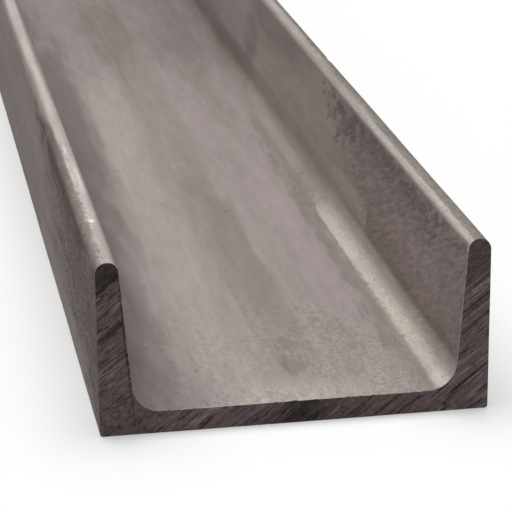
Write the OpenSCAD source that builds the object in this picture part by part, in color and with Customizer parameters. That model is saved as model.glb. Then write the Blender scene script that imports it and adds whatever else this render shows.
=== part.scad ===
// Hot-rolled steel U-channel with tapered flanges and rounded toes, sawn square to a stock length.
// The back of the web lies on the XY plane and the flanges rise along +Z; the length runs along Y.
// The origin is the middle of the back of the web, half way along the length. Sizes are in millimetres.

/* [Section] */
// Depth of the section, over the outer faces of the two flanges
section_depth = 120; // [80:1:240]
// Width of a flange, from the back of the web to its toe
flange_width = 55; // [35:1:100]
// Thickness of the web
web_thickness = 7; // [4:0.5:14]
// Thickness of a flange, half way along its width
flange_thickness = 9; // [6:0.5:18]
// Slope of a flange's inner face, in per cent
flange_slope = 8; // [2:0.5:12]

/* [Radii] */
// Fillet between the web and a flange
root_radius = 9; // [3:0.5:16]
// Rounding on the inner side of a toe, where the toe is thick enough for it
toe_inner_radius = 3.2; // [0.8:0.1:5]
// Rounding on the outer side of a toe, where the toe is thick enough for it
toe_outer_radius = 3.5; // [0.8:0.1:5]
// Rounding along the two corners of the back
heel_radius = 1; // [0.5:0.1:3]

/* [Stock] */
// Length that the channel is cut to
stock_length = 1000; // [200:50:6000]

/* [Hidden] */
$fn = 96;
half_depth = section_depth / 2;
slope = flange_slope / 100;

// Directions in the section, from the centre of a rounding squarely to the face it runs into
to_back = [0, -1];
to_toe = [0, 1];
to_outer_face = [1, 0];
to_inner_face = [1, -slope] / norm([1, -slope]);

// A toe that is too thin for its two roundings shrinks them both in proportion
toe_thickness = flange_thickness - slope * flange_width / 2;
toe_fit = min(1, toe_thickness / (toe_inner_radius + toe_outer_radius));
toe_inner = toe_fit * toe_inner_radius;
toe_outer = toe_fit * toe_outer_radius;

// How far the cutting shapes run past the surfaces that they cut
overrun = 1;
// Arcs are this much fuller than their radius, so that they always meet the faces beside them
hair = 0.0005;

// X of the right flange's inner face, at a height above the back of the web
function inner_face(z) = half_depth - flange_thickness + slope * (z - flange_width / 2);

// Centre of an arc that runs into the inner face, seen at its height from the side it lies on
function beside_inner_face(z, radius, side) = [inner_face(z) + side * radius * norm([1, slope]), z];

// What lies between a sharp corner and the arc that rounds it
module corner_waste(centre, radius, to_one_face, to_other_face) {
    to_corner = (to_one_face + to_other_face) / (1 + to_one_face * to_other_face);
    translate(centre) difference() {
        polygon((radius + overrun) * [[0, 0], to_one_face, to_corner, to_other_face]);
        circle(r = radius + hair);
    }
}

module both_sides() {
    children();
    mirror([1, 0]) children();
}

// Open space between the flanges, with a fillet at each side of its foot
module mouth() {
    top = flange_width + overrun;
    difference() {
        polygon([
            [-inner_face(top), top], [-inner_face(web_thickness), web_thickness],
            [inner_face(web_thickness), web_thickness], [inner_face(top), top]
        ]);
        both_sides()
            corner_waste(
                beside_inner_face(web_thickness + root_radius, root_radius, -1),
                root_radius, to_back, to_inner_face);
    }
}

// What the rounding takes off the right flange's toe
module toe_waste() {
    corner_waste(
        beside_inner_face(flange_width - toe_inner, toe_inner, 1),
        toe_inner, to_toe, -to_inner_face);
    corner_waste(
        [half_depth - toe_outer, flange_width - toe_outer],
        toe_outer, to_toe, to_outer_face);
}

// What the rounding takes off the right corner of the back
module heel_waste() {
    corner_waste([half_depth - heel_radius, heel_radius], heel_radius, to_back, to_outer_face);
}

module section() {
    difference() {
        translate([-half_depth, 0]) square([section_depth, flange_width]);
        mouth();
        both_sides() {
            toe_waste();
            heel_waste();
        }
    }
}

module u_channel() {
    color([0.53, 0.5, 0.48])
        rotate([90, 0, 0])
            linear_extrude(height = stock_length, center = true)
                section();
}

u_channel();
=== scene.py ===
import bpy
import bmesh
import math
import random
from mathutils import Matrix, Vector, noise


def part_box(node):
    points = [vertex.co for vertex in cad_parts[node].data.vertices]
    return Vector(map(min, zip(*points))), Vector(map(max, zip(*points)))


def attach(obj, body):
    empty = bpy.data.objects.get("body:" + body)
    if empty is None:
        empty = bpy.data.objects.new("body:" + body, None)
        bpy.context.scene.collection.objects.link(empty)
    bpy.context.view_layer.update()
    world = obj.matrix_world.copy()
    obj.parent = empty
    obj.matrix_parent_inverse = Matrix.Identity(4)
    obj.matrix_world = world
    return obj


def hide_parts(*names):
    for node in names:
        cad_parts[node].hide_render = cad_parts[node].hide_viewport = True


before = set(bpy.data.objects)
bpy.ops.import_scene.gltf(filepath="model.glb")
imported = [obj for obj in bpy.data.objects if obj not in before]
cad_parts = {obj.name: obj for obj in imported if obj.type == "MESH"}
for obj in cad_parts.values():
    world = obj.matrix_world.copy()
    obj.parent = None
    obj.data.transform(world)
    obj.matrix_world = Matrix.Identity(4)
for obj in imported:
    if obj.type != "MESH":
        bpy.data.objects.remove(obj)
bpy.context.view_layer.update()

mm = 0.001
nodeLow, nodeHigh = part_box("u_channel")
nearEnd = nodeLow.y              # the sawn end that faces the camera
farEnd = nodeHigh.y
half = nodeHigh.x
top = nodeHigh.z

cameraView = {
    "stand": (-0.1237, nearEnd - 0.6393, 0.2724),
    "aim": (-0.0120, nearEnd, 0.0541),
    "rollDegrees": -0.53,
    "lens": 162.9,
    "sensor": 36,
    "clipStart": 0.01,
}


def setCamera(view):
    camera = bpy.data.objects.new("camera", bpy.data.cameras.new("camera"))
    bpy.context.scene.collection.objects.link(camera)
    camera.data.sensor_width = view["sensor"]
    camera.data.lens = view["lens"]
    camera.data.clip_start = view["clipStart"]
    stand = Vector(view["stand"])
    look = (Vector(view["aim"]) - stand).to_track_quat("-Z", "Y").to_matrix().to_4x4()
    roll = Matrix.Rotation(math.radians(view["rollDegrees"]), 4, "Z")
    camera.matrix_world = Matrix.Translation(stand) @ look @ roll
    bpy.context.scene.camera = camera


setCamera(cameraView)
print("camera set")

channel = {
    "web": 7 * mm,
    "flange": 9 * mm,            # half way up
    "slope": 0.08,
    "rootRadius": 9 * mm,
    "toeInnerRadius": 3.2 * mm,
    "toeOuterRadius": 3.5 * mm,
    "heelRadius": 1 * mm,
    "rootSegments": 12,
    "toeSegments": 9,
    "heelSegments": 3,
    "crossStep": 3.2 * mm,       # between the points round the section
    "lengthStep": 2.8 * mm,      # between the rings along the length
    "endSteps": [0.35 * mm, 0.5 * mm, 0.8 * mm, 1.3 * mm],
}
rolling = {
    "longWave": 0.14 * mm,       # slow unevenness of the rolled faces
    "longSize": 90 * mm,
    "shortWave": 0.04 * mm,
    "shortSize": 14 * mm,
    "sunk": 0.5,                 # how far the waves lie below the true face
}
sawing = {
    "tiltDegrees": 38,
    "spacing": (0.7 * mm, 2.1 * mm),
    "step": 0.28 * mm,           # how wide a mark's own edge is
    "depth": 0.26 * mm,
    "depthShare": (0.15, 1),     # the shallowest and the deepest mark
    "patchSize": 9 * mm,         # marks come in deeper and shallower patches
    "patchLeast": 0.3,
    "restShare": 0.25,           # what is left of a mark's depth at its far side
    "tolerance": 0.001 * mm,
    "grainyCorner": (-0.93, 0.07),   # where the saw left grain in place of marks, as shares of half and top
    "grainyReach": 26 * mm,
    "burr": 0.35 * mm,           # stands up along the inside edge of the cut
    "burrShare": 0.4,
    "burrClear": (0.4, 0.5),     # of the flange's and the web's thickness
    "nearSeed": 5,
    "farSeed": 8,
}
dents = [                        # side, height, distance from the near end, radius, depth
    (-1, 55, 42, 5.0, 0.45),
    (-1, 54, 151, 7.0, 0.30),
    (1, 55, 236, 6.0, 0.35),
    (-1, 30, 382, 9.0, 0.30),
    (1, 22, 640, 11.0, 0.35),
    (1, 55, 771, 5.0, 0.45),
    (-1, 55, 868, 6.0, 0.40),
    (1, 2, 330, 5.0, 0.35),
]


def innerFace(height):
    return half - channel["flange"] + channel["slope"] * (height - top / 2)


def sectionFace(bm):
    web = channel["web"]
    corners = [
        (-half, 0), (half, 0), (half, top), (innerFace(top), top),
        (innerFace(web), web), (-innerFace(web), web), (-innerFace(top), top), (-half, top),
    ]
    verts = [bm.verts.new((x, nearEnd, z)) for x, z in corners]
    bm.faces.new(verts)
    # An arc reaches less far along a sloped face.
    slant = math.tan(math.pi / 4 - math.atan(channel["slope"]) / 2)
    rounds = [
        ((0, 1), channel["heelRadius"], channel["heelSegments"]),
        ((2, 7), channel["toeOuterRadius"], channel["toeSegments"]),
        ((3, 6), channel["toeInnerRadius"] * slant, channel["toeSegments"]),
        ((4, 5), channel["rootRadius"] * slant, channel["rootSegments"]),
    ]
    for places, reach, segments in rounds:
        bmesh.ops.bevel(
            bm, geom=[verts[i] for i in places], affect="VERTICES", offset=reach, offset_type="OFFSET",
            segments=segments, profile=0.5, material=-1)


def sectionRim(bm):
    sectionFace(bm)
    bmesh.ops.delete(bm, geom=list(bm.faces), context="FACES_ONLY")
    for edge in list(bm.edges):
        cuts = round(edge.calc_length() / channel["crossStep"]) - 1
        if cuts > 0:
            bmesh.ops.subdivide_edges(bm, edges=[edge], cuts=cuts)
    return list(bm.edges)


# A copy bridged to its rim gives the same mesh each run, down to the last digit.
def drawOut(bm, rim, step):
    copied = bmesh.ops.duplicate(bm, geom=rim)["geom"]
    verts = [g for g in copied if isinstance(g, bmesh.types.BMVert)]
    nextRim = [g for g in copied if isinstance(g, bmesh.types.BMEdge)]
    bmesh.ops.translate(bm, verts=verts, vec=(0, step, 0))
    bmesh.ops.bridge_loops(bm, edges=rim + nextRim)
    return nextRim


# The rings stand closer together by the two sawn ends.
def rollSides(bm):
    nearRim = rim = sectionRim(bm)
    for step in channel["endSteps"]:
        rim = drawOut(bm, rim, step)
    before = set(bm.edges)
    middle = farEnd - nearEnd - 2 * sum(channel["endSteps"])
    rim = drawOut(bm, rim, middle)
    old = before.union(rim)
    longEdges = [edge for edge in bm.edges if edge not in old]
    for step in reversed(channel["endSteps"]):
        rim = drawOut(bm, rim, step)
    cuts = round(middle / channel["lengthStep"]) - 1
    bmesh.ops.subdivide_edges(bm, edges=longEdges, cuts=cuts, use_grid_fill=True)
    bmesh.ops.recalc_face_normals(bm, faces=bm.faces)
    for face in bm.faces:
        face.smooth = True
    return nearRim, rim


def wearSides(bm):
    bm.normal_update()
    moves = []
    for vert in bm.verts:
        slow = noise.noise(vert.co / rolling["longSize"]) + rolling["sunk"]
        quick = noise.noise(vert.co / rolling["shortSize"]) + rolling["sunk"]
        deep = rolling["longWave"] * max(slow, 0) + rolling["shortWave"] * max(quick, 0)
        for side, height, along, radius, depth in dents:
            middle = Vector((side * half, nearEnd + along * mm, height * mm))
            away = (vert.co - middle).length / (radius * mm)
            if away < 1:
                deep += depth * mm * (1 - away * away) ** 2
        moves.append((vert, vert.normal * -deep))
    for vert, move in moves:
        vert.co += move


# Each mark sinks slowly and ends in a short step: its place across the saw, and its depth there.
def sawMarks(start, end, seed):
    marks = [(start, 0)]
    place = start
    while place < end:
        patch = sawing["patchLeast"] + abs(noise.noise((place / sawing["patchSize"], seed, 0)))
        deep = random.uniform(*sawing["depthShare"]) * patch * sawing["depth"]
        wide = random.uniform(*sawing["spacing"])
        marks.append((place + wide, random.random() * sawing["restShare"] * deep))
        marks.append((place + wide + sawing["step"], deep))
        place = marks[-1][0]
    return marks


# The way a burr stands up into the open side of the section, or nothing elsewhere.
def openSide(place):
    side = math.copysign(1, place.x)
    flangeClear, webClear = sawing["burrClear"]
    inside = abs(place.x) < half - flangeClear * channel["flange"] and place.z > webClear * channel["web"]
    if not inside or place.z > top - channel["toeOuterRadius"]:
        return Vector()
    nearFlange = abs(place.x) > innerFace(0) - channel["rootRadius"]
    nearWeb = place.z < channel["web"] + channel["rootRadius"]
    return Vector((-side if nearFlange else 0, 0, 1 if nearWeb else 0)).normalized()


def sawBite(place):
    across, up = sawing["grainyCorner"]
    away = Vector((place.x - across * half, place.z - up * top)).length / sawing["grainyReach"]
    return min(away, 1) ** 2


def sawEnd(bm, rim, inward, seed):
    random.seed(seed)
    tilt = math.radians(sawing["tiltDegrees"])
    across = Vector((-math.sin(tilt), 0, math.cos(tilt)))   # square to the saw marks
    marks = sawMarks(-half * math.sin(tilt), half * math.sin(tilt) + top * math.cos(tilt), seed)
    cap = set(bmesh.ops.contextual_create(bm, geom=rim)["faces"])
    for place, deep in marks[1:]:
        geom = set(cap)
        for face in cap:
            geom.update(face.verts, face.edges)
        cut = bmesh.ops.bisect_plane(
            bm, geom=list(geom), dist=sawing["tolerance"], plane_co=across * place, plane_no=across)
        cap = {g for g in cut["geom"] if isinstance(g, bmesh.types.BMFace)}
    for face in cap:
        face.material_index = 1
        face.smooth = False
    for vert in sorted({v for face in cap for v in face.verts}, key=lambda v: (v.co.x, v.co.z)):
        here = vert.co.dot(across)
        for (before, shallow), (after, deep) in zip(marks, marks[1:]):
            if before <= here < after:
                share = (here - before) / (after - before)
                vert.co.y += inward * (shallow + (deep - shallow) * share) * sawBite(vert.co)
        if random.random() < sawing["burrShare"]:
            vert.co += openSide(vert.co) * random.random() ** 2 * sawing["burr"]
    for edge in {e for face in cap for e in face.edges}:
        edge.smooth = False


def buildChannel():
    bm = bmesh.new()
    nearRim, farRim = rollSides(bm)
    print("section drawn out to", len(bm.verts), "points")
    wearSides(bm)
    sawEnd(bm, nearRim, 1, sawing["nearSeed"])
    sawEnd(bm, farRim, -1, sawing["farSeed"])
    bmesh.ops.recalc_face_normals(bm, faces=bm.faces)
    mesh = bpy.data.meshes.new("uChannel")
    bm.to_mesh(mesh)
    bm.free()
    piece = bpy.data.objects.new("uChannel", mesh)
    bpy.context.scene.collection.objects.link(piece)
    print("ends sawn,", len(mesh.polygons), "faces")
    return piece


steelTints = {                   # how red and blue lean from green
    "warm": (1.13, 0.94),
    "olive": (1.11, 0.87),
    "mauve": (1.17, 0.985),
    "dark": (1.21, 0.95),
    "bright": (1.10, 0.94),
    "straw": (1.08, 0.89),
    "sawn": (1.30, 0.98),
}
steelGloss = {
    "specularLevel": 0,
    "edgeTint": (0.4, 0.4, 0.4, 1),   # dulls the metal where it is seen at a slant
}


def tone(tint, level):
    red, blue = steelTints[tint]
    return (level * red, level, level * blue, 1)


# Node helpers. Each node is made after those that feed it, so that the renderer
# has few values to hold at once: out of that order, a long row of marks turns black.
def put(tree, socket, value):
    if isinstance(value, bpy.types.NodeSocket):
        tree.links.new(value, socket)
    else:
        socket.default_value = value


def calc(tree, operation, *values):
    node = tree.nodes.new("ShaderNodeMath")
    node.operation = operation
    for socket, value in zip(node.inputs, values):
        put(tree, socket, value)
    return node.outputs["Value"]


def vectorCalc(tree, operation, *values):
    node = tree.nodes.new("ShaderNodeVectorMath")
    node.operation = operation
    for socket, value in zip(node.inputs, values):
        put(tree, socket, value)
    return node.outputs["Vector"]


def scaled(tree, colour, amount):
    node = tree.nodes.new("ShaderNodeVectorMath")
    node.operation = "SCALE"
    put(tree, node.inputs["Vector"], colour)
    put(tree, node.inputs["Scale"], amount)
    return node.outputs["Vector"]


def mapped(tree, place, label, value):
    node = tree.nodes.new("ShaderNodeMapping")
    put(tree, node.inputs[label], value)
    put(tree, node.inputs["Vector"], place)
    return node.outputs["Vector"]


def turned(tree, place, *degrees):
    return mapped(tree, place, "Rotation", [math.radians(v) for v in degrees])


def between(tree, share, ends):
    return calc(tree, "MULTIPLY_ADD", share, ends[1] - ends[0], ends[0])


def summed(tree, layers, total):
    for value, amount in layers:
        total = calc(tree, "MULTIPLY_ADD", value, amount, total)
    return total


def fade(tree, value, start, end):
    node = tree.nodes.new("ShaderNodeMapRange")
    node.interpolation_type = "SMOOTHSTEP"
    put(tree, node.inputs["Value"], value)
    put(tree, node.inputs["From Min"], start)
    put(tree, node.inputs["From Max"], end)
    return node.outputs["Result"]


def near(tree, value, level, width):
    away = calc(tree, "ABSOLUTE", calc(tree, "SUBTRACT", value, level))
    return calc(tree, "SUBTRACT", 1, fade(tree, away, 0, width))


def blend(tree, share, under, over):
    node = tree.nodes.new("ShaderNodeMix")
    node.data_type = "RGBA"
    put(tree, node.inputs["Factor"], share)
    put(tree, node.inputs["A"], under)
    put(tree, node.inputs["B"], over)
    return node.outputs["Result"]


def bump(tree, height, depth):
    node = tree.nodes.new("ShaderNodeBump")
    node.inputs["Distance"].default_value = depth
    put(tree, node.inputs["Height"], height)
    return node.outputs["Normal"]


def newGroup(name, inputs, outputs):
    tree = bpy.data.node_groups.new(name, "ShaderNodeTree")
    for label, kind in inputs.items():
        tree.interface.new_socket(label, in_out="INPUT", socket_type="NodeSocket" + kind)
    for label, kind in outputs.items():
        tree.interface.new_socket(label, in_out="OUTPUT", socket_type="NodeSocket" + kind)
    return tree, tree.nodes.new("NodeGroupInput").outputs, tree.nodes.new("NodeGroupOutput").inputs


def useGroup(tree, group, **values):
    node = tree.nodes.new("ShaderNodeGroup")
    node.node_tree = group
    for label, value in values.items():
        put(tree, node.inputs[label], value)
    return node.outputs


patterns = {
    "cloudRoughness": 0.6,
    "markSquare": 2.5,           # 2 is an ellipse, more is boxier
    "coverShift": (0.37, 0.11, 0.23),   # keeps the scratches' cover apart from their own noise
    "coverStretch": (2.5, 0.6, 2.5),
    "coverFade": (0.5, 0.62),
    "fleckHeart": 0.1,           # as a share of a cell, as the next are
    "fleckReach": (0.15, 0.45),
}


# A noise from -1 to 1 whose clouds have a size of their own across, along and up.
def makeMottle():
    tree, given, result = newGroup(
        "mottle",
        {"Place": "Vector", "Size": "Vector", "Detail": "Float", "Warp": "Float"},
        {"Value": "Float"})
    perSize = vectorCalc(tree, "DIVIDE", (1, 1, 1), given["Size"])
    place = mapped(tree, given["Place"], "Scale", perSize)
    cloud = tree.nodes.new("ShaderNodeTexNoise")
    put(tree, cloud.inputs["Vector"], place)
    put(tree, cloud.inputs["Detail"], given["Detail"])
    put(tree, cloud.inputs["Distortion"], given["Warp"])
    cloud.inputs["Scale"].default_value = 1
    cloud.inputs["Roughness"].default_value = patterns["cloudRoughness"]
    put(tree, result["Value"], calc(tree, "MULTIPLY_ADD", cloud.outputs["Fac"], 2, -1))
    return tree


# The steps from a centre come out as a colour, which keeps a long row of marks small for the renderer.
def makeSteps():
    tree, given, result = newGroup(
        "steps", {"Place": "Vector", "Centre": "Vector", "Reach": "Vector"}, {"Steps": "Color"})
    away = vectorCalc(tree, "SUBTRACT", given["Place"], given["Centre"])
    away = vectorCalc(tree, "DIVIDE", away, given["Reach"])
    put(tree, result["Steps"], vectorCalc(tree, "ABSOLUTE", away))
    return tree


# One stain, scuff, worn place, painted shade or painted highlight: a rounded box with a soft, ragged rim.
def makeMark():
    tree, given, result = newGroup(
        "mark",
        {"Under": "Color", "Tone": "Color", "Share": "Float", "Place": "Vector", "Centre": "Vector",
         "Reach": "Vector", "Square": "Float", "Soft": "Float", "Ragged": "Float", "Uneven": "Float"},
        {"Color": "Color", "Mask": "Float"})
    away = useGroup(tree, steps, Place=given["Place"], Centre=given["Centre"], Reach=given["Reach"])["Steps"]
    split = tree.nodes.new("ShaderNodeSeparateXYZ")
    put(tree, split.inputs["Vector"], away)
    x, y, z = (calc(tree, "POWER", split.outputs[name], given["Square"]) for name in "XYZ")
    total = calc(tree, "ADD", calc(tree, "ADD", x, y), z)
    distance = calc(tree, "POWER", total, calc(tree, "DIVIDE", 1, given["Square"]))
    distance = calc(tree, "MULTIPLY_ADD", given["Ragged"], given["Uneven"], distance)
    outer = calc(tree, "MULTIPLY_ADD", given["Soft"], 0.5, 1)
    inner = calc(tree, "MULTIPLY_ADD", given["Soft"], -0.5, 1)
    inside = calc(tree, "SUBTRACT", 1, fade(tree, distance, inner, outer))
    mask = calc(tree, "MULTIPLY", inside, given["Share"])
    put(tree, result["Mask"], mask)
    put(tree, result["Color"], blend(tree, mask, given["Under"], given["Tone"]))
    return tree


# Thin lines where a noise passes through nothing, kept only where a second noise covers them.
def makeScratches():
    tree, given, result = newGroup(
        "scratches",
        {"Place": "Vector", "Size": "Vector", "Width": "Float", "Share": "Float"},
        {"Mask": "Float"})
    lines = useGroup(tree, mottle, Place=given["Place"], Size=given["Size"], Detail=0)["Value"]
    thin = near(tree, lines, 0, given["Width"])
    shift = vectorCalc(tree, "ADD", given["Place"], patterns["coverShift"])
    wide = vectorCalc(tree, "MULTIPLY", given["Size"], patterns["coverStretch"])
    cover = useGroup(tree, mottle, Place=shift, Size=wide, Detail=1)["Value"]
    start, end = (calc(tree, "SUBTRACT", level, given["Share"]) for level in patterns["coverFade"])
    put(tree, result["Mask"], calc(tree, "MULTIPLY", thin, fade(tree, cover, start, end)))
    return tree


def makeFlecks():
    tree, given, result = newGroup(
        "flecks", {"Place": "Vector", "Size": "Float", "Share": "Float"}, {"Mask": "Float"})
    scale = calc(tree, "DIVIDE", 1, given["Size"])
    cells = tree.nodes.new("ShaderNodeTexVoronoi")
    put(tree, cells.inputs["Vector"], given["Place"])
    put(tree, cells.inputs["Scale"], scale)
    pick = tree.nodes.new("ShaderNodeSeparateColor")
    put(tree, pick.inputs["Color"], cells.outputs["Color"])
    chosen = calc(tree, "LESS_THAN", pick.outputs["Red"], given["Share"])
    reach = between(tree, pick.outputs["Green"], patterns["fleckReach"])
    rim = fade(tree, cells.outputs["Distance"], patterns["fleckHeart"], reach)
    spot = calc(tree, "SUBTRACT", 1, rim)
    put(tree, result["Mask"], calc(tree, "MULTIPLY", chosen, spot))
    return tree


mottle = makeMottle()
steps = makeSteps()
mark = makeMark()
scratches = makeScratches()
flecks = makeFlecks()


def noiseOf(tree, place, pattern, warp=0):
    size, detail = pattern
    size = [v * mm for v in size]
    return useGroup(tree, mottle, Place=place, Size=size, Detail=detail, Warp=warp)["Value"]


def linesOf(tree, place, pattern):
    size, width, share = pattern
    size = [v * mm for v in size]
    return useGroup(tree, scratches, Place=place, Size=size, Width=width, Share=share)["Mask"]


def flecksOf(tree, place, pattern):
    size, share = pattern
    return useGroup(tree, flecks, Place=place, Size=size * mm, Share=share)["Mask"]


def addMarks(tree, place, edges, colour, marks, *kinds):
    masks = dict.fromkeys(kinds, 0)
    for entry in marks:
        across, along, up = (v * mm for v in entry["at"])
        made = useGroup(
            tree, mark, Under=colour, Tone=tone(*entry["tone"]), Share=entry["share"], Place=place,
            Centre=(across, nearEnd + along, up), Reach=[v * mm for v in entry["reach"]],
            Square=entry.get("square", patterns["markSquare"]), Soft=entry["soft"], Ragged=entry["ragged"],
            Uneven=edges[entry.get("edge", "broad")])
        colour = made["Color"]
        colour.node.label = entry["name"]
        for kind in kinds:
            if kind in entry:
                share = calc(tree, "MULTIPLY", made["Mask"], entry[kind])
                masks[kind] = calc(tree, "MAXIMUM", masks[kind], calc(tree, "MINIMUM", share, 1))
    return colour, masks


def startMaterial(name):
    material = bpy.data.materials.new(name)
    material.use_nodes = True
    tree = material.node_tree
    shader = tree.nodes["Principled BSDF"].inputs
    shader["Specular IOR Level"].default_value = steelGloss["specularLevel"]
    shader["Specular Tint"].default_value = steelGloss["edgeTint"]
    return material, tree, shader, tree.nodes.new("ShaderNodeTexCoord").outputs["Object"]


# Noise sizes are millimetres across, along and up, each with its detail.
rolledFinish = {
    "base": 0.285,
    "baseTints": ("olive", "mauve"),
    "tintFade": (-0.3, 0.3),
    "roughness": (0.58, 0.38),   # dull scale, worn bright
    "metallic": (0.3, 0.75),
    "unevenRoughness": 0.08,
    "lineRoughness": -0.12,
    "brushDegrees": 22,          # the brushing runs down towards the far end
    "fleckStretch": (1, 0.4, 1),
    "darkest": 0.3,
    "bumpDepth": 0.12 * mm,
    "noise": {
        "uneven": ((3.5, 22, 3.5), 2.8),
        "brushed": ((1.5, 9, 1.5), 3),
        "grain": ((0.5, 1.3, 0.5), 2),
        "hanging": ((2.5, 8, 4.5), 2.5),
        "broad": ((6, 50, 6), 2),
        "tints": ((13, 120, 13), 3),
        "toeLines": ((0.7, 110, 0.7), 2),
        "clouds": ((14, 130, 14), 3),
        "streaks": ((1.6, 130, 1.6), 3),
    },
    "lines": {                   # size, then how wide, then how much of the steel has them
        "along": ((2.2, 60, 2.2), 0.012, 0.3),
        "cross": ((30, 3, 30), 0.01, 0.22),
        "worms": ((1.4, 3.2, 1.4), 0.19, 1),
    },
    "flecks": {                  # millimetres, then how much of the steel has them
        "pits": (2.6, 0.06),
        "glints": (1.7, 0.25),
        "specks": (1.2, 0.35),
    },
    "edges": {                   # what else frays the rims of two kinds of mark
        "hanging": 0.6,
        "fine": 0.4,
    },
    "shade": {                   # paler or darker; a pair is for clean steel and for where marks ask for it
        "clouds": 0.18,
        "patches": 0.16,
        "streaks": 0.05,
        "toeLines": (0.02, 0.38),
        "grain": (0.03, 0.34),
        "brushed": (0.012, 0.60),
        "pits": -0.2,
        "glints": 0.3,
        "specks": -0.25,
        "scratches": 0.24,
        "worms": 0.3,
    },
    "relief": {
        "uneven": 0.4,
        "brushed": (0.25, 1),
        "grain": 0.3,
        "pits": -0.8,
        "lines": -0.5,
    },
}
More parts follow.
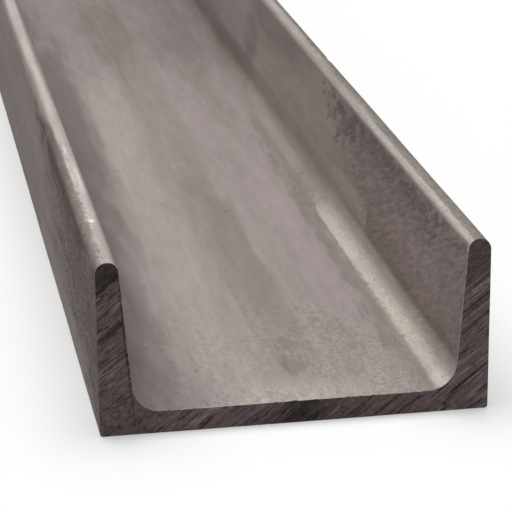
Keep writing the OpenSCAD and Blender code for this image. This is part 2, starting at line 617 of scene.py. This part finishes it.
# Marks on the rolled faces, stains and wear and some painted shade and highlights: millimetres across, along
# from the near end and up. Soft and ragged make the rim, and share how strongly a mark covers. Shine, grain,
# lines and worms bring out more of each.
rolledMarks = [
    # the web
    dict(name="pale band", tone=("warm", 0.345), at=(-17, 230, 7), reach=(9, 330, 4),
         soft=1.0, ragged=0.5, share=0.8),
    dict(name="mauve side", tone=("mauve", 0.295), at=(32, 135, 7), reach=(9, 120, 4),
         soft=0.9, ragged=0.8, share=0.95),
    dict(name="far mauve side", tone=("mauve", 0.27), at=(22, 300, 7), reach=(6, 90, 4),
         soft=0.9, ragged=0.8, share=0.5),
    dict(name="duller far web", tone=("mauve", 0.235), at=(8, 600, 7), reach=(60, 200, 5),
         soft=0.8, ragged=0.4, share=0.8),
    dict(name="oil stain", tone=("olive", 0.253), at=(5.2, 130, 7), reach=(8.8, 120, 4),
         soft=0.5, ragged=0.6, share=0.9),
    dict(name="heart of the stain", tone=("olive", 0.22), at=(7, 165, 7), reach=(5.5, 85, 4),
         soft=0.7, ragged=0.7, share=0.75),
    dict(name="pale streak in the stain", tone=("olive", 0.3), at=(-5, 88, 7), reach=(2, 45, 4),
         soft=1.0, ragged=0.9, share=0.6, edge="streaky"),
    dict(name="spot in the stain", tone=("olive", 0.185), at=(5.9, 48, 7), reach=(3, 7.5, 4),
         soft=0.7, ragged=0.9, share=0.6, edge="fine"),
    dict(name="second spot", tone=("olive", 0.185), at=(4.6, 30, 7), reach=(3.8, 8.5, 4),
         soft=0.7, ragged=0.9, share=0.6, edge="fine"),
    dict(name="tail of the stain", tone=("olive", 0.24), at=(6.5, 385, 7), reach=(7.2, 165, 4),
         soft=0.9, ragged=0.8, share=0.6),
    dict(name="second stain", tone=("olive", 0.195), at=(0, 520, 7), reach=(11, 90, 4),
         soft=1.3, ragged=0.9, share=0.7),
    dict(name="third stain", tone=("olive", 0.23), at=(31, 430, 7), reach=(6, 110, 4),
         soft=1.2, ragged=0.9, share=0.65),
    dict(name="corner of the third stain", tone=("mauve", 0.18), at=(34, 510, 7), reach=(16, 90, 4),
         soft=1.2, ragged=0.6, share=0.7),
    dict(name="scale speckle", tone=("olive", 0.24), at=(19.5, 42, 7), reach=(11.5, 30, 4),
         soft=0.9, ragged=1.2, share=0.55, grain=1, edge="fine"),
    dict(name="fringe at the cut", tone=("straw", 0.37), at=(-3, 0, 7), reach=(27, 15, 4),
         soft=1.1, ragged=0.8, share=0.85, grain=1, edge="fine"),
    dict(name="mauve corner", tone=("mauve", 0.262), at=(-37, 6, 8), reach=(15.5, 26, 5),
         soft=0.8, ragged=0.7, share=0.95),
    dict(name="worms at the cut", tone=("straw", 0.31), at=(24, 28, 7), reach=(14, 34, 4),
         soft=1.0, ragged=1.1, share=0.3, worms=2),
    dict(name="worms by the root", tone=("straw", 0.31), at=(32, 6, 7), reach=(10, 11, 4),
         soft=1.0, ragged=1.0, share=0.4, worms=2.5),
    dict(name="rough near end", tone=("warm", 0.285), at=(5, 15, 7), reach=(46, 70, 4),
         soft=1.0, ragged=0.8, share=0.01, grain=45),
    dict(name="brown dashes", tone=("dark", 0.2), at=(40.5, 140, 7), reach=(2.6, 100, 4),
         soft=0.9, ragged=2.2, share=0.55, edge="streaky"),
    dict(name="shade of the left root", tone=("mauve", 0.1), at=(-44.5, 130, 11.5), reach=(10, 120, 7.6),
         soft=1.5, ragged=0.4, share=0.9),
    # the painted shade of the left root, lighter by the cut
    dict(name="paler end of the left root", tone=("mauve", 0.2), at=(-45.5, 2, 8.5), reach=(4.5, 7, 3.8),
         soft=0.9, ragged=0.5, share=0.8),
    # painted shade that the left flange casts along the web
    dict(name="painted shade strip by the left flange", tone=("mauve", 0.178), at=(-36, 350, 9), reach=(10.2, 180, 5),
         soft=0.9, ragged=0.7, share=0.95),
    # painted shade, spreading the shade of the left root onto the web
    dict(name="painted shade streak by the left root", tone=("mauve", 0.165), at=(-36.5, 75, 7), reach=(4, 85, 4),
         soft=1.1, ragged=0.9, share=0.25, edge="streaky"),
    dict(name="scratch by the root", tone=("bright", 0.40), at=(35, 43.5, 7), reach=(3.2, 0.5, 4),
         soft=0.9, ragged=0.7, share=0.8, edge="fine"),
    dict(name="scratch over the stain", tone=("bright", 0.36), at=(-3, 56, 7), reach=(6, 0.4, 4),
         soft=0.9, ragged=1.1, share=0.45, edge="fine"),
    # the right root and the inside of the right flange, whose tones are painted lighter, partly standing in
    # for light from the upper left
    # painted shade along the web's side of the right root
    dict(name="painted shade line by the right root", tone=("olive", 0.25), at=(41.4, 95, 7), reach=(3.1, 130, 4),
         soft=1.3, ragged=0.7, share=0.5, edge="fine"),
    dict(name="duller root further off", tone=("olive", 0.225), at=(44.2, 275, 10), reach=(2.6, 75, 4.5),
         soft=0.9, ragged=0.4, share=0.6),
    dict(name="paler foot further off", tone=("warm", 0.38), at=(47.4, 270, 11.5), reach=(2.4, 95, 4),
         soft=0.9, ragged=0.4, share=0.8),
    # clean steel, and painted lighter as if lit from the upper left
    dict(name="clean flange painted lighter", tone=("warm", 0.42), at=(50.5, 300, 34), reach=(6, 145, 22),
         soft=0.7, ragged=0.3, share=0.9),
    dict(name="clean foot of the flange painted lighter", tone=("warm", 0.40), at=(50.5, 210, 21), reach=(6, 80, 8.5),
         soft=0.1, ragged=0.06, share=0.9, square=6),
    dict(name="scaled flange", tone=("dark", 0.295), at=(50.5, 0, 31), reach=(6, 160, 23),
         soft=0.6, ragged=0.3, share=0.85, grain=0.9),
    dict(name="pale flecks", tone=("mauve", 0.42), at=(50.5, 50, 32), reach=(6, 24, 8),
         soft=1.0, ragged=2.2, share=0.4, edge="hanging"),
    dict(name="mark of the scale's edge", tone=("warm", 0.44), at=(50.5, 160, 18), reach=(6, 31, 8),
         soft=0.08, ragged=0.08, share=0.75, square=5, edge="fine"),
    dict(name="blotches by the toe", tone=("dark", 0.175), at=(50.5, 100, 47.5), reach=(6, 58, 4.2),
         soft=1.7, ragged=3.0, share=0.75, edge="hanging"),
    dict(name="smear below the blotches", tone=("dark", 0.235), at=(50.5, 112, 42), reach=(6, 56, 6.5),
         soft=1.1, ragged=2.2, share=0.45, edge="hanging"),
    dict(name="paler scale below", tone=("mauve", 0.34), at=(50.5, 92, 38), reach=(6, 45, 5),
         soft=1.2, ragged=1.2, share=0.4, edge="hanging"),
    dict(name="blotch running down", tone=("dark", 0.17), at=(50.5, 172, 45), reach=(6, 20, 6.5),
         soft=1.8, ragged=2.0, share=0.55, edge="hanging"),
    # painted shade in a soft curve on the far flange, and a painted reflection beyond it
    dict(name="far fold of shade", tone=("dark", 0.25), at=(50.5, 465, 17), reach=(6, 85, 6),
         soft=0.9, ragged=0.2, share=0.85),
    dict(name="start of the fold of shade", tone=("dark", 0.27), at=(50.5, 372, 31), reach=(6, 16, 11),
         soft=0.9, ragged=0.2, share=0.75),
    dict(name="soft shade under the toe", tone=("dark", 0.29), at=(50.5, 320, 49), reach=(6, 80, 9),
         soft=0.9, ragged=0.3, share=0.8),
    dict(name="far flange with painted reflection", tone=("mauve", 0.42), at=(50.5, 460, 38), reach=(6, 75, 17),
         soft=0.9, ragged=0.3, share=0.85),
    dict(name="line above the root", tone=("dark", 0.27), at=(50.5, 330, 18.5), reach=(6, 150, 3.6),
         soft=0.9, ragged=0.5, share=0.35),
    dict(name="near line above the root", tone=("dark", 0.24), at=(50.5, 60, 16.8), reach=(6, 110, 1.5),
         soft=0.9, ragged=0.5, share=0.5),
    dict(name="foot of the flange", tone=("straw", 0.43), at=(48.6, 85, 13), reach=(3, 125, 2.4),
         soft=0.9, ragged=0.3, share=0.85),
    # the outside of the flanges
    dict(name="near part of the left side", tone=("dark", 0.185), at=(-60, 25, 35), reach=(4, 120, 23),
         soft=0.9, ragged=0.8, share=0.9, grain=0.9),
    dict(name="pale foot of the left side", tone=("warm", 0.34), at=(-60, 110, 3), reach=(4, 80, 8),
         soft=0.8, ragged=0.4, share=0.8),
    dict(name="dull near corner", tone=("dark", 0.15), at=(-60, 0, 20), reach=(4, 30, 24),
         soft=1.0, ragged=1.4, share=0.55, grain=1, edge="streaky"),
    dict(name="smear under the toe", tone=("dark", 0.155), at=(-60, 106, 48.5), reach=(4, 76, 7),
         soft=1.0, ragged=1.2, share=0.85, edge="streaky"),
    dict(name="dark heart of the smear", tone=("dark", 0.11), at=(-60, 98, 48.5), reach=(4, 74, 3),
         soft=1.0, ragged=1.8, share=0.85, edge="streaky"),
    dict(name="scuffs on the left side", tone=("dark", 0.12), at=(-60, 35, 36), reach=(4, 55, 14),
         soft=1.2, ragged=3.2, share=0.4, edge="fine"),
    dict(name="scaled right side", tone=("dark", 0.22), at=(60, 330, 24), reach=(4, 280, 24),
         soft=1.0, ragged=0.9, share=0.6, grain=0.6),
    dict(name="rub on the right side", tone=("bright", 0.36), at=(60, 640, 40), reach=(4, 150, 5),
         soft=1.0, ragged=1.2, share=0.5, edge="streaky"),
    dict(name="scaled underside", tone=("dark", 0.21), at=(-12, 380, 0), reach=(38, 330, 3),
         soft=1.0, ragged=0.8, share=0.6, grain=0.6),
    # worn bright, and painted highlights and glints on the toes, the right root and the cut edges
    dict(name="crown of the right toe", tone=("olive", 0.18), at=(57, 120, 55), reach=(2.6, 200, 3),
         soft=0.6, ragged=0.3, share=0.8, grain=0.9),
    dict(name="crown further off", tone=("olive", 0.2), at=(58, 620, 55), reach=(2.6, 400, 3),
         soft=0.6, ragged=0.3, share=0.8),
    # the left toe's pale band is partly wear and partly a painted highlight along its rounding
    dict(name="left toe", tone=("bright", 0.53), at=(-56, 90, 55.3), reach=(2.1, 130, 1.8),
         soft=0.7, ragged=0.3, share=0.9, shine=1, lines=1, edge="fine"),
    dict(name="left toe further off", tone=("bright", 0.52), at=(-57, 600, 55.3), reach=(2.1, 420, 2.4),
         soft=0.7, ragged=0.3, share=0.9, shine=1, lines=0.6),
    dict(name="dull tip of the left toe", tone=("bright", 0.36), at=(-55.2, 5, 54.6), reach=(4.5, 42, 3),
         soft=1.0, ragged=0.5, share=0.5, edge="fine"),
    # painted shade on the inner rounding of the left toe
    dict(name="painted shade inside the left toe", tone=("dark", 0.22), at=(-52.4, 230, 50), reach=(1.6, 330, 5),
         soft=0.9, ragged=0.3, share=0.8),
    dict(name="speckled side of the left toe", tone=("olive", 0.21), at=(-59.4, 62, 54),
         reach=(1.8, 70, 2.5), soft=0.6, ragged=0.9, share=0.8, grain=1, edge="fine"),
    dict(name="crackle on the left toe", tone=("bright", 0.56), at=(-56.8, 60, 55), reach=(2.6, 80, 2.5),
         soft=0.9, ragged=1.0, share=0.05, worms=14),
    # the right toe's pale inner rounding is partly wear and partly a painted highlight
    dict(name="right toe", tone=("bright", 0.5), at=(53.4, 90, 54.6), reach=(1.3, 150, 2.4),
         soft=0.8, ragged=0.7, share=0.9, shine=1, lines=1, edge="fine", grain=0.8),
    dict(name="right toe further off", tone=("bright", 0.43), at=(54.8, 620, 54.8), reach=(1.8, 420, 2.6),
         soft=0.8, ragged=0.4, share=0.9, shine=1, lines=1),
    dict(name="crackle on the right toe", tone=("bright", 0.5), at=(54.5, 60, 55), reach=(3, 100, 3),
         soft=0.9, ragged=1.0, share=0.05, worms=9),
    # the right root worn bright, with a painted highlight along it; its tip, end and specks belong to it
    dict(name="worn root with painted highlight", tone=("straw", 0.515), at=(46.6, 80, 10.8), reach=(2.5, 103, 4),
         soft=0.7, ragged=0.6, share=0.95, square=4, shine=0.5, grain=0.4, edge="fine"),
    dict(name="tip of the worn root with painted highlight", tone=("straw", 0.5), at=(46.1, 158, 10.5), reach=(2.3, 30, 4),
         soft=0.3, ragged=0.35, share=0.8, square=5, shine=0.5, grain=0.4, edge="fine"),
    dict(name="end of the worn root with painted highlight", tone=("bright", 0.6), at=(46, 4, 10.6), reach=(2.3, 9, 4),
         soft=0.9, ragged=0.5, share=0.7, shine=0.5, grain=0.4, edge="fine"),
    dict(name="specks on the worn root with painted highlight", tone=("straw", 0.515), at=(45.5, 80, 10.6), reach=(4, 95, 4.5),
         soft=0.9, ragged=1.0, share=0.05, worms=10),
    dict(name="left glint", tone=("bright", 0.85), at=(-52.9, 0.5, 52.8), reach=(0.9, 1, 1),
         soft=0.5, ragged=0.2, share=0.9),
    dict(name="right glint", tone=("bright", 0.85), at=(52.9, 0.5, 51.8), reach=(0.9, 1, 1),
         soft=0.5, ragged=0.2, share=0.9),
    # burrs along the cut, with a painted highlight where their lip catches the light
    dict(name="burr on the web with painted highlight", tone=("straw", 0.5), at=(-22, 0, 7), reach=(14, 0.4, 1),
         soft=0.9, ragged=2.0, share=0.7, edge="fine"),
    dict(name="edge of the right flange with painted highlight", tone=("bright", 0.5), at=(51, 0.2, 30), reach=(4, 0.7, 22),
         soft=0.9, ragged=1.4, share=0.6, edge="fine"),
    # a nick and rubs on the left toe, painted as near white glints
    dict(name="nick in the left toe with painted glint", tone=("bright", 0.8), at=(-56.2, 41.5, 55), reach=(0.9, 1.6, 2),
         soft=0.8, ragged=0.8, share=0.9, edge="fine"),
    dict(name="rub on the left toe with painted glint", tone=("bright", 0.75), at=(-55.3, 88, 55), reach=(0.4, 17, 2),
         soft=0.9, ragged=0.7, share=0.8, edge="fine"),
    dict(name="second rub with painted glint", tone=("bright", 0.7), at=(-56.6, 123, 55), reach=(0.4, 5, 2),
         soft=0.9, ragged=0.8, share=0.8, edge="fine"),
]


def rolledSteel():
    material, tree, shader, place = startMaterial("rolledSteel")
    finish = rolledFinish
    noises = finish["noise"]
    shades = finish["shade"]
    relief = finish["relief"]
    slanted = turned(tree, place, finish["brushDegrees"], 0, 0)
    uneven = noiseOf(tree, place, noises["uneven"])
    brushed = noiseOf(tree, slanted, noises["brushed"])
    grain = noiseOf(tree, place, noises["grain"])
    hanging = noiseOf(tree, slanted, noises["hanging"])
    edges = {
        "hanging": calc(tree, "MULTIPLY_ADD", brushed, finish["edges"]["hanging"], hanging),
        "broad": noiseOf(tree, place, noises["broad"]),
        "streaky": uneven,
        "fine": calc(tree, "MULTIPLY_ADD", uneven, finish["edges"]["fine"], brushed),
    }
    lean = fade(tree, noiseOf(tree, place, noises["tints"]), *finish["tintFade"])
    colour = blend(tree, lean, *(tone(tint, finish["base"]) for tint in finish["baseTints"]))
    colour, masks = addMarks(tree, place, edges, colour, rolledMarks, "shine", "grain", "lines", "worms")

    toeLines = noiseOf(tree, place, noises["toeLines"])
    layers = [
        (noiseOf(tree, place, noises["clouds"]), shades["clouds"]),
        (uneven, shades["patches"]),
        (noiseOf(tree, place, noises["streaks"]), shades["streaks"]),
        (toeLines, between(tree, masks["lines"], shades["toeLines"])),
        (grain, between(tree, masks["grain"], shades["grain"])),
        (brushed, between(tree, masks["grain"], shades["brushed"])),
    ]
    shade = summed(tree, layers, 1)
    along = linesOf(tree, place, finish["lines"]["along"])
    cross = linesOf(tree, place, finish["lines"]["cross"])
    scratched = calc(tree, "MAXIMUM", along, cross)
    worms = calc(tree, "MULTIPLY", linesOf(tree, place, finish["lines"]["worms"]), masks["worms"])
    lines = calc(tree, "MAXIMUM", scratched, worms)
    drawn = vectorCalc(tree, "MULTIPLY", slanted, finish["fleckStretch"])
    pits = flecksOf(tree, drawn, finish["flecks"]["pits"])
    glints = calc(tree, "MULTIPLY", flecksOf(tree, drawn, finish["flecks"]["glints"]), masks["grain"])
    specks = calc(tree, "MULTIPLY", flecksOf(tree, drawn, finish["flecks"]["specks"]), masks["worms"])
    details = {"pits": pits, "glints": glints, "specks": specks, "scratches": scratched, "worms": worms}
    shade = summed(tree, [(value, shades[name]) for name, value in details.items()], shade)
    shade = calc(tree, "MAXIMUM", shade, finish["darkest"])
    put(tree, shader["Base Color"], scaled(tree, colour, shade))

    roughness = between(tree, masks["shine"], finish["roughness"])
    roughness = calc(tree, "MULTIPLY_ADD", uneven, finish["unevenRoughness"], roughness)
    put(tree, shader["Roughness"], calc(tree, "MULTIPLY_ADD", lines, finish["lineRoughness"], roughness))
    put(tree, shader["Metallic"], between(tree, masks["shine"], finish["metallic"]))
    height = summed(tree, [
        (uneven, relief["uneven"]),
        (brushed, between(tree, masks["grain"], relief["brushed"])),
        (grain, relief["grain"]),
        (calc(tree, "ADD", pits, specks), relief["pits"]),
        (lines, relief["lines"]),
    ], 0)
    put(tree, shader["Normal"], bump(tree, height, finish["bumpDepth"]))
    return material


def alongSaw(across, up):
    return Matrix.Rotation(math.radians(sawing["tiltDegrees"]), 3, "Y") @ Vector((across, 0, up))


sawnFinish = {
    "base": ("sawn", 0.133),
    "roughness": 0.55,
    "fineRoughness": -0.15,
    "metallic": 0.3,
    "rimDegrees": 4.57,          # makes the left flange's leaning inner face upright for the rim's marks
    "ridgeWarp": 0.4,
    "ridgeWidth": 0.11,
    "grooveLevel": 0.16,         # sets the dark lines beside the pale ones
    "coverFade": (-0.2, 0.2),
    "darkest": 0.2,
    "bumpDepth": 0.14 * mm,
    "noise": {
        "uneven": ((3, 2, 1.4), 4),
        "ridges": ((24, 24, 2.2), 1.7),
        "bands": ((24, 24, 2.4), 2),
        "cover": ((9, 9, 5), 2),
        "fine": ((12, 12, 0.45), 2),
        "grain": ((0.6, 0.6, 0.6), 3),
        "clumps": ((1.9, 1.9, 1.6), 3),
    },
    "shade": {
        "bands": 0.58,
        "fine": 0.35,
        "pale": 0.66,
        "dark": -0.42,
        "grain": 0.7,
        "uneven": 0.6,
        "clumps": 0.9,
    },
    "relief": {
        "grain": 0.4,
        "ridges": 0.8,
        "clumps": 1.2,
    },
}
# Marks on the sawn ends, placed in the section and lying along the saw marks. Calm takes the saw
# marks away, and grainy puts clumps in their place.
sawnMarks = [
    dict(name="smooth left toe", tone=("sawn", 0.046), at=alongSaw(-57, 53.5), reach=(10, 60, 4.6),
         soft=0.15, ragged=0.1, share=0.9, calm=0.8),
    dict(name="line under the left toe", tone=("sawn", 0.038), at=alongSaw(-56.2, 48.2),
         reach=(7, 60, 0.65), soft=0.7, ragged=0.9, share=0.9),
    dict(name="lower band", tone=("sawn", 0.05), at=alongSaw(-56, 33), reach=(7, 60, 1.4),
         soft=0.9, ragged=0.7, share=0.75),
    dict(name="left corner", tone=("sawn", 0.122), at=alongSaw(-51.5, 5), reach=(14, 60, 9),
         soft=0.7, ragged=0.5, share=0.95, calm=1, grainy=1),
    dict(name="smooth right toe", tone=("sawn", 0.095), at=alongSaw(57.5, 50), reach=(14, 60, 7.2),
         soft=0.12, ragged=0.08, share=0.9, calm=1),
    dict(name="first pale line", tone=("sawn", 0.24), at=alongSaw(55, 41.2), reach=(6.5, 60, 0.2),
         soft=1.0, ragged=0.6, share=0.75),
    dict(name="second pale line", tone=("sawn", 0.22), at=alongSaw(56, 38.4), reach=(6.5, 60, 0.24),
         soft=1.0, ragged=0.6, share=0.75),
    dict(name="third pale line", tone=("sawn", 0.24), at=alongSaw(54, 35.6), reach=(6.5, 60, 0.22),
         soft=1.0, ragged=0.6, share=0.75),
    # painted shade of a groove that the mesh leaves flat
    dict(name="dark groove", tone=("sawn", 0.04), at=alongSaw(55, 34.2), reach=(6.5, 60, 0.35),
         soft=1.0, ragged=0.6, share=0.75),
    dict(name="fourth pale line", tone=("sawn", 0.22), at=alongSaw(56, 32.2), reach=(6.5, 60, 0.24),
         soft=1.0, ragged=0.6, share=0.75),
    dict(name="fifth pale line", tone=("sawn", 0.2), at=alongSaw(54.5, 28.8), reach=(6.5, 60, 0.2),
         soft=1.0, ragged=0.6, share=0.75),
    dict(name="dark middle of the web", tone=("sawn", 0.04), at=alongSaw(2, 3.5), reach=(12, 60, 6.5),
         soft=1.2, ragged=0.6, share=0.7),
    dict(name="pale left of the web", tone=("sawn", 0.16), at=alongSaw(-32, 3), reach=(10, 60, 9),
         soft=0.9, ragged=0.6, share=0.7),
    # painted shade in a deep saw gouge that the mesh leaves flat, and a painted highlight on its lip
    dict(name="deep mark", tone=("sawn", 0.03), at=alongSaw(53.6, 10.4), reach=(9, 60, 0.4),
         soft=0.8, ragged=0.5, share=0.9),
    dict(name="lip of the deep mark", tone=("sawn", 0.22), at=alongSaw(53.9, 9.6), reach=(9, 60, 0.25),
         soft=0.8, ragged=0.3, share=0.9),
]
# A painted shadow of the burr along the left flange's inner cut edge, placed as above but in the section
# turned by rimDegrees.
rimShadowMarks = [
    dict(name="painted rim shadow", tone=("sawn", 0.05), at=(-48.95, 0, 34), reach=(0.45, 60, 22),
         soft=1.2, ragged=0.5, share=0.7),
]


def sawnSteel():
    material, tree, shader, place = startMaterial("sawnSteel")
    finish = sawnFinish
    noises = finish["noise"]
    shades = finish["shade"]
    relief = finish["relief"]
    alongMarks = turned(tree, place, 0, sawing["tiltDegrees"], 0)
    uneven = noiseOf(tree, alongMarks, noises["uneven"])
    edges = {"broad": uneven}
    colour, masks = addMarks(tree, alongMarks, edges, tone(*finish["base"]), sawnMarks, "calm", "grainy")
    # the painted shadow along the left flange's rim
    upright = turned(tree, place, 0, finish["rimDegrees"], 0)
    colour = addMarks(tree, upright, edges, colour, rimShadowMarks)[0]

    ridges = noiseOf(tree, alongMarks, noises["ridges"], finish["ridgeWarp"])
    pale = near(tree, ridges, 0, finish["ridgeWidth"])
    dark = near(tree, ridges, finish["grooveLevel"], finish["ridgeWidth"])
    bands = noiseOf(tree, alongMarks, noises["bands"])
    cover = fade(tree, noiseOf(tree, alongMarks, noises["cover"]), *finish["coverFade"])
    pale = calc(tree, "MULTIPLY", pale, cover)
    fine = noiseOf(tree, alongMarks, noises["fine"])
    grain = noiseOf(tree, place, noises["grain"])
    marked = calc(tree, "SUBTRACT", 1, masks["calm"])
    clumps = calc(tree, "MULTIPLY", noiseOf(tree, place, noises["clumps"]), masks["grainy"])
    shade = 1
    for name, value in {"bands": bands, "fine": fine, "pale": pale, "dark": dark}.items():
        value = calc(tree, "MULTIPLY", value, shades[name])
        shade = calc(tree, "MULTIPLY_ADD", value, marked, shade)
    details = {"grain": grain, "uneven": uneven, "clumps": clumps}
    shade = summed(tree, [(value, shades[name]) for name, value in details.items()], shade)
    shade = calc(tree, "MAXIMUM", shade, finish["darkest"])
    put(tree, shader["Base Color"], scaled(tree, colour, shade))

    roughness = calc(tree, "MULTIPLY_ADD", fine, finish["fineRoughness"], finish["roughness"])
    put(tree, shader["Roughness"], roughness)
    shader["Metallic"].default_value = finish["metallic"]
    lifted = calc(tree, "SUBTRACT", pale, dark)
    height = calc(tree, "MULTIPLY", fine, marked)
    height = summed(tree, [
        (grain, relief["grain"]),
        (lifted, relief["ridges"]),
        (clumps, relief["clumps"]),
    ], height)
    put(tree, shader["Normal"], bump(tree, height, finish["bumpDepth"]))
    return material


piece = buildChannel()
piece.data.materials.append(rolledSteel())
piece.data.materials.append(sawnSteel())
print("steel finished with", len(rolledMarks) + len(sawnMarks) + len(rimShadowMarks), "marks")
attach(piece, "root")
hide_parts("u_channel")

studio = {
    "floorSize": 40,
    "floorSeen": 0.76,
    "floorGlow": 0.26,           # brings the floor and backdrop to white
    "floorBounce": 0.22,         # what the floor throws back onto the steel
    "floorRoughness": 0.9,
    "sky": 0.3,
    "sun": 2.25,
    "sunDegrees": 60,
    "sunFrom": (-0.08, 0.28, 1),
}


def grey(level):
    return (level, level, level, 1)


# Where the eye or a reflection meets the floor or the sky, and not the light they give.
def seenByEye(tree):
    rays = tree.nodes.new("ShaderNodeLightPath").outputs
    direct = calc(tree, "MAXIMUM", rays["Is Camera Ray"], rays["Is Glossy Ray"])
    return calc(tree, "MAXIMUM", direct, rays["Is Transmission Ray"])


def layFloor():
    bm = bmesh.new()
    bmesh.ops.create_grid(bm, x_segments=1, y_segments=1, size=studio["floorSize"] / 2)
    mesh = bpy.data.meshes.new("floor")
    bm.to_mesh(mesh)
    bm.free()
    floor = bpy.data.objects.new("floor", mesh)
    bpy.context.scene.collection.objects.link(floor)
    material = bpy.data.materials.new("paleFloor")
    material.use_nodes = True
    tree = material.node_tree
    shader = tree.nodes["Principled BSDF"].inputs
    seen = seenByEye(tree)
    put(tree, shader["Base Color"], blend(tree, seen, grey(studio["floorBounce"]), grey(studio["floorSeen"])))
    shader["Roughness"].default_value = studio["floorRoughness"]
    shader["Specular IOR Level"].default_value = 0
    shader["Emission Color"].default_value = grey(1)
    put(tree, shader["Emission Strength"], calc(tree, "MULTIPLY", seen, studio["floorGlow"]))
    floor.data.materials.append(material)


def lightStudio():
    world = bpy.data.worlds.new("studio")
    bpy.context.scene.world = world
    world.use_nodes = True
    tree = world.node_tree
    background = tree.nodes["Background"].inputs
    background["Color"].default_value = grey(1)
    put(tree, background["Strength"], between(tree, seenByEye(tree), (studio["sky"], 1)))
    sun = bpy.data.objects.new("softSun", bpy.data.lights.new("softSun", "SUN"))
    sun.data.energy = studio["sun"]
    sun.data.angle = math.radians(studio["sunDegrees"])
    sun.matrix_world = Vector(studio["sunFrom"]).to_track_quat("Z", "Y").to_matrix().to_4x4()
    bpy.context.scene.collection.objects.link(sun)


layFloor()
lightStudio()
bpy.context.scene.view_settings.view_transform = "Standard"
print("floor and light set")
